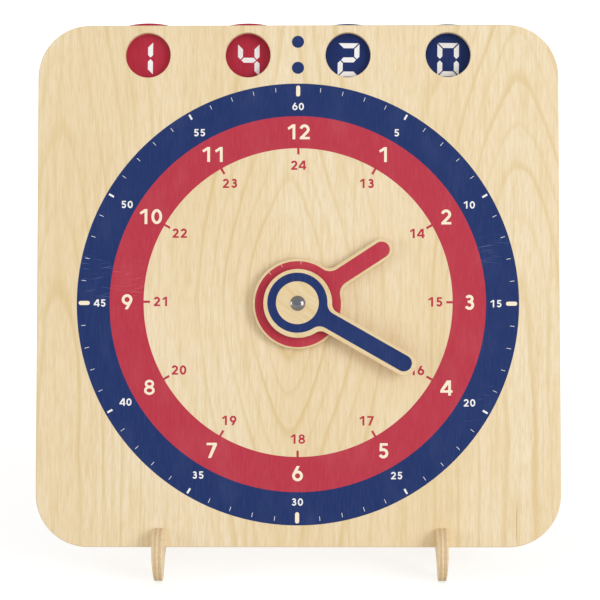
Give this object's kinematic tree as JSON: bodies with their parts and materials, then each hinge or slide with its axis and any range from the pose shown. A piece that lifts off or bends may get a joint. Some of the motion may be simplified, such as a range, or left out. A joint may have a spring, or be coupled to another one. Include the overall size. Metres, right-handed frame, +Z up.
{
  "type": "teaching clock",
  "caption": "Square wooden clock face on slotted feet, with hour and minute hands set by hand and turning number discs that show the digital time through round windows.",
  "frame": {"origin": "on the floor below the middle of the clock's box", "axes": "+Z up, +X to the right as seen from the front, -Y out of the front"},
  "size_m": [0.3, 0.1062, 0.3097],
  "materials": {
    "birch_plywood": "clear satin lacquer over birch veneer",
    "red_print": "satin red print on birch",
    "blue_print": "satin blue print on birch",
    "white_print": "satin white print",
    "cream_print": "satin cream print",
    "polished_steel": "polished domed head",
    "zinc_steel": "bright zinc plate",
    "collar_plastic": "natural nylon"
  },
  "bodies": {
    "board": {"front_board": "birch_plywood", "left_spacer_bar": "birch_plywood", "right_spacer_bar": "birch_plywood", "bottom_spacer_bar": "birch_plywood", "rear_cover": "birch_plywood", "cover_screws": "zinc_steel", "hour_tens_pin": "zinc_steel", "hour_tens_collar": "collar_plastic", "hour_units_pin": "zinc_steel", "hour_units_collar": "collar_plastic", "minute_tens_pin": "zinc_steel", "minute_tens_collar": "collar_plastic", "minute_units_pin": "zinc_steel", "minute_units_collar": "collar_plastic", "pivot_bolt": "polished_steel", "board_washer": "zinc_steel", "hand_washer": "zinc_steel", "rear_washer": "zinc_steel", "spring_washer": "zinc_steel", "lock_nut": "zinc_steel", "left_foot": "birch_plywood", "right_foot": "birch_plywood"},
    "hour_hand": {"hour_hand": "birch_plywood"},
    "minute_hand": {"minute_hand": "birch_plywood"},
    "hour_tens_disc": {"hour_tens_disc": "red_print"},
    "hour_units_disc": {"hour_units_disc": "red_print"},
    "minute_tens_disc": {"minute_tens_disc": "blue_print"},
    "minute_units_disc": {"minute_units_disc": "blue_print"}
  },
  "joints": [
    {"name": "hour_hand_turn", "type": "hinge", "parent": "board", "child": "hour_hand", "pos_m": [0, -0.00617, 0.15392], "axis": [0, 0.9659, -0.2588], "continuous": true},
    {"name": "minute_hand_turn", "type": "hinge", "parent": "board", "child": "minute_hand", "pos_m": [0, -0.01138, 0.15532], "axis": [0, 0.9659, -0.2588], "continuous": true},
    {"name": "hour_tens_disc_turn", "type": "hinge", "parent": "board", "child": "hour_tens_disc", "pos_m": [-0.08655, 0.03081, 0.25831], "axis": [0, 0.9659, -0.2588], "continuous": true},
    {"name": "hour_units_disc_turn", "type": "hinge", "parent": "board", "child": "hour_units_disc", "pos_m": [-0.02885, 0.03329, 0.2579], "axis": [0, 0.9659, -0.2588], "continuous": true},
    {"name": "minute_tens_disc_turn", "type": "hinge", "parent": "board", "child": "minute_tens_disc", "pos_m": [0.02885, 0.03066, 0.25773], "axis": [0, 0.9659, -0.2588], "continuous": true},
    {"name": "minute_units_disc_turn", "type": "hinge", "parent": "board", "child": "minute_units_disc", "pos_m": [0.08655, 0.03311, 0.25723], "axis": [0, 0.9659, -0.2588], "continuous": true}
  ]
}
